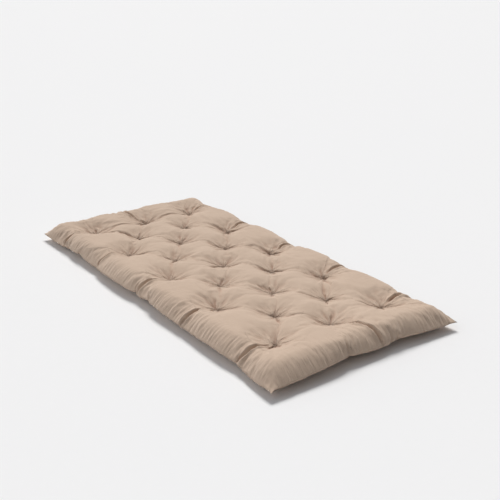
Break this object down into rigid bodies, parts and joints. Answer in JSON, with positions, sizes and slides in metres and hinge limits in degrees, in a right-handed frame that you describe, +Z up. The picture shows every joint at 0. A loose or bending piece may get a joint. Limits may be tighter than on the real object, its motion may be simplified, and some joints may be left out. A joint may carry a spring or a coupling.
{
  "type": "futon mattress",
  "caption": "Flat tufted floor mattress: a two-panel cloth case with a knife-edge seam and pointed corners, filled with batting and foam, that folds in half.",
  "frame": {"origin": "under the centre of the mattress, on the plane that it lies on", "axes": "+Z up, +Y along the length to the head end, +X across the width"},
  "size_m": [0.9, 1.9, 0.1],
  "materials": {
    "case_cloth": "brushed cotton, soft nap",
    "cotton_batting": "loose cotton felt",
    "foam": "open-cell foam",
    "sewing_thread": "spun thread",
    "tufting_twine": "twisted twine"
  },
  "bodies": {
    "foot_half": {"cover_top_foot": "case_cloth", "cover_bottom_foot": "case_cloth", "batting_top_foot": "cotton_batting", "foam_core_foot": "foam", "batting_bottom_foot": "cotton_batting", "seam_thread_foot": "sewing_thread", "tuft_twine_01": "tufting_twine", "tuft_twine_02": "tufting_twine", "tuft_twine_03": "tufting_twine", "tuft_twine_04": "tufting_twine", "tuft_twine_05": "tufting_twine", "tuft_twine_06": "tufting_twine", "tuft_twine_07": "tufting_twine", "tuft_twine_08": "tufting_twine", "tuft_twine_09": "tufting_twine", "tuft_twine_10": "tufting_twine", "tuft_twine_11": "tufting_twine", "tuft_twine_12": "tufting_twine", "tuft_twine_13": "tufting_twine"},
    "head_half": {"cover_top_head": "case_cloth", "cover_bottom_head": "case_cloth", "batting_top_head": "cotton_batting", "foam_core_head": "foam", "batting_bottom_head": "cotton_batting", "seam_thread_head": "sewing_thread", "closing_thread": "sewing_thread", "tuft_twine_14": "tufting_twine", "tuft_twine_15": "tufting_twine", "tuft_twine_16": "tufting_twine", "tuft_twine_17": "tufting_twine", "tuft_twine_18": "tufting_twine", "tuft_twine_19": "tufting_twine", "tuft_twine_20": "tufting_twine", "tuft_twine_21": "tufting_twine", "tuft_twine_22": "tufting_twine", "tuft_twine_23": "tufting_twine"}
  },
  "joints": [
    {"name": "fold", "type": "hinge", "parent": "foot_half", "child": "head_half", "pos_m": [0, 0, 0.10015], "axis": [1, 0, 0], "range_deg": [0, 180]}
  ]
}
